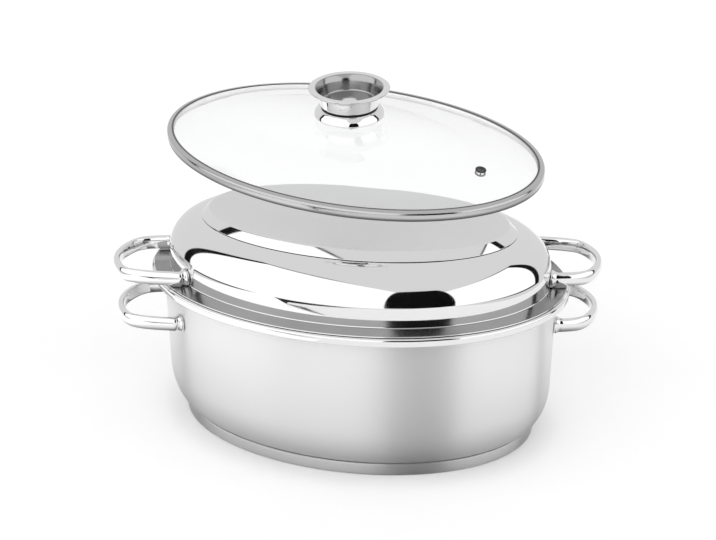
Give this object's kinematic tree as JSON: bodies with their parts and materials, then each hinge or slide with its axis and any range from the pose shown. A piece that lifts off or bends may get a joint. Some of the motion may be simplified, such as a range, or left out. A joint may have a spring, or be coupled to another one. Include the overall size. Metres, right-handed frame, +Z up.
{
  "type": "oval roaster",
  "caption": "Oval steel roaster: deep pan, shallow pan turned over on it as a cover, and a domed glass lid with a cup-shaped knob, with loop handles at both ends.",
  "frame": {"origin": "on the table, under the middle of the deep pan's base", "axes": "+Z up, X along the oval from handle to handle, -Y towards the front"},
  "size_m": [0.4294, 0.2682, 0.3168],
  "materials": {
    "satin_steel": "satin",
    "polished_steel": "mirror polished",
    "aluminium": "plain",
    "silicone": "matt",
    "glass": "clear, polished"
  },
  "bodies": {
    "pan": {"pan_shell": "satin_steel", "pan_base_core": "aluminium", "pan_base_capsule": "satin_steel", "pan_handle_left": "polished_steel", "pan_handle_right": "polished_steel", "pan_foot_left_front": "polished_steel", "pan_foot_left_back": "polished_steel", "pan_foot_right_front": "polished_steel", "pan_foot_right_back": "polished_steel"},
    "cover": {"cover_shell": "polished_steel", "cover_base_core": "aluminium", "cover_base_capsule": "satin_steel", "cover_handle_left": "polished_steel", "cover_handle_right": "polished_steel", "cover_foot_left_front": "polished_steel", "cover_foot_left_back": "polished_steel", "cover_foot_right_front": "polished_steel", "cover_foot_right_back": "polished_steel"},
    "lid": {"lid_glass": "glass", "lid_rim_band": "polished_steel", "lid_vent_eyelet": "polished_steel", "knob_gasket": "silicone", "knob_skirt": "polished_steel", "knob_seam_ring": "silicone", "knob_cup": "polished_steel", "knob_screw": "satin_steel", "lid_under_gasket": "silicone", "lid_under_washer": "satin_steel", "lid_under_nut": "satin_steel"}
  },
  "joints": [
    {"name": "cover_lift", "type": "slide", "parent": "pan", "child": "cover", "axis": [0, 0, 1], "range_m": [0, 0.2]},
    {"name": "lid_lift", "type": "slide", "parent": "cover", "child": "lid", "axis": [0, 0, 1], "range_m": [-0.03, 0.2]}
  ]
}
